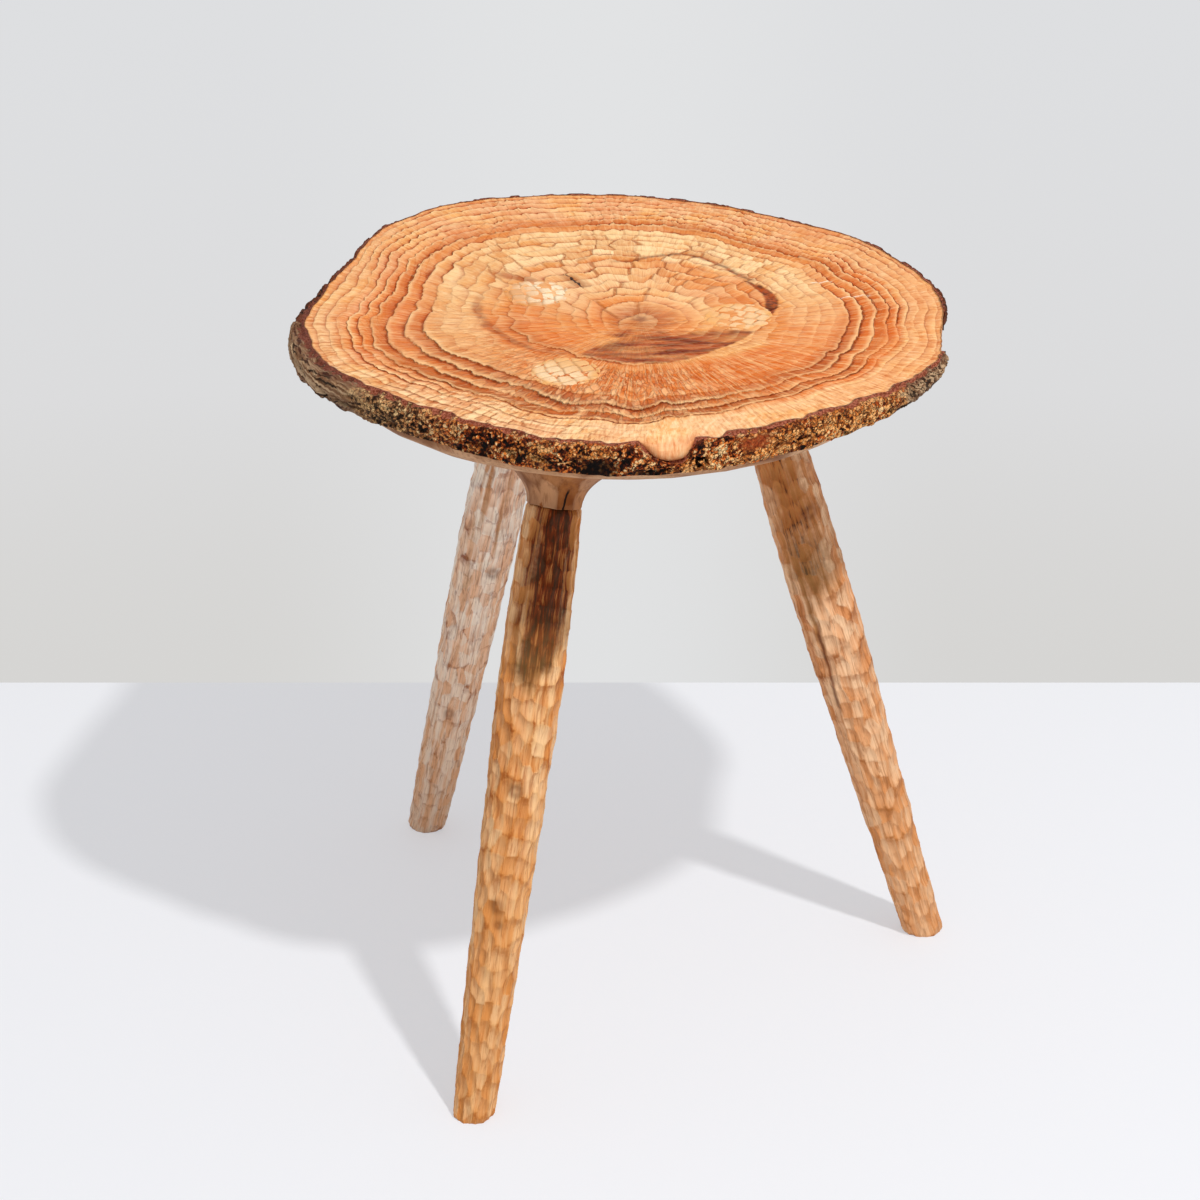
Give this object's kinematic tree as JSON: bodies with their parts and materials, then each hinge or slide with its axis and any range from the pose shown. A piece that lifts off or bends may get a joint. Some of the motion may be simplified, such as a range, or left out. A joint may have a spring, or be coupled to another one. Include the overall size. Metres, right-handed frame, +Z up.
{
  "type": "wooden stool",
  "caption": "Hand-carved wooden stool: tree-slice seat with its bark left on, rounded underside with flared bosses, and splayed, tapering, gouge-faceted legs.",
  "frame": {"origin": "middle of the bounding box at floor level, below the seat's middle", "axes": "+Z up through the seat, -Y towards the front as pictured, +X to the right"},
  "size_m": [0.4198, 0.4238, 0.45],
  "materials": {
    "seat_wood": "oiled end grain, gouge carved along the growth rings",
    "bark_rough": "rough golden-brown bark, matt",
    "bark_grey": "smooth grey-olive outer bark, matt",
    "bark_dark": "dark brown bark, matt",
    "leg_wood": "oiled long grain, gouge faceted",
    "plug_wood": "pale end grain, gouge carved",
    "wedge_wood": "plain hardwood"
  },
  "bodies": {
    "root": {"seat_slab": "seat_wood", "bark_left": "bark_dark", "bark_plate_left": "bark_grey", "bark_front": "bark_rough", "bark_lip": "bark_rough", "bark_front_right": "bark_rough", "bark_plate_right": "bark_grey", "bark_chip_right": "bark_dark", "bark_back_right": "bark_dark", "bark_back_left": "bark_dark", "bark_chip_rear": "bark_dark", "leg_front": "leg_wood", "leg_right": "leg_wood", "leg_left": "leg_wood", "wedge_front": "wedge_wood", "wedge_right": "wedge_wood", "wedge_left": "wedge_wood", "plug_front": "plug_wood", "plug_right": "plug_wood", "plug_left": "plug_wood"}
  },
  "joints": []
}
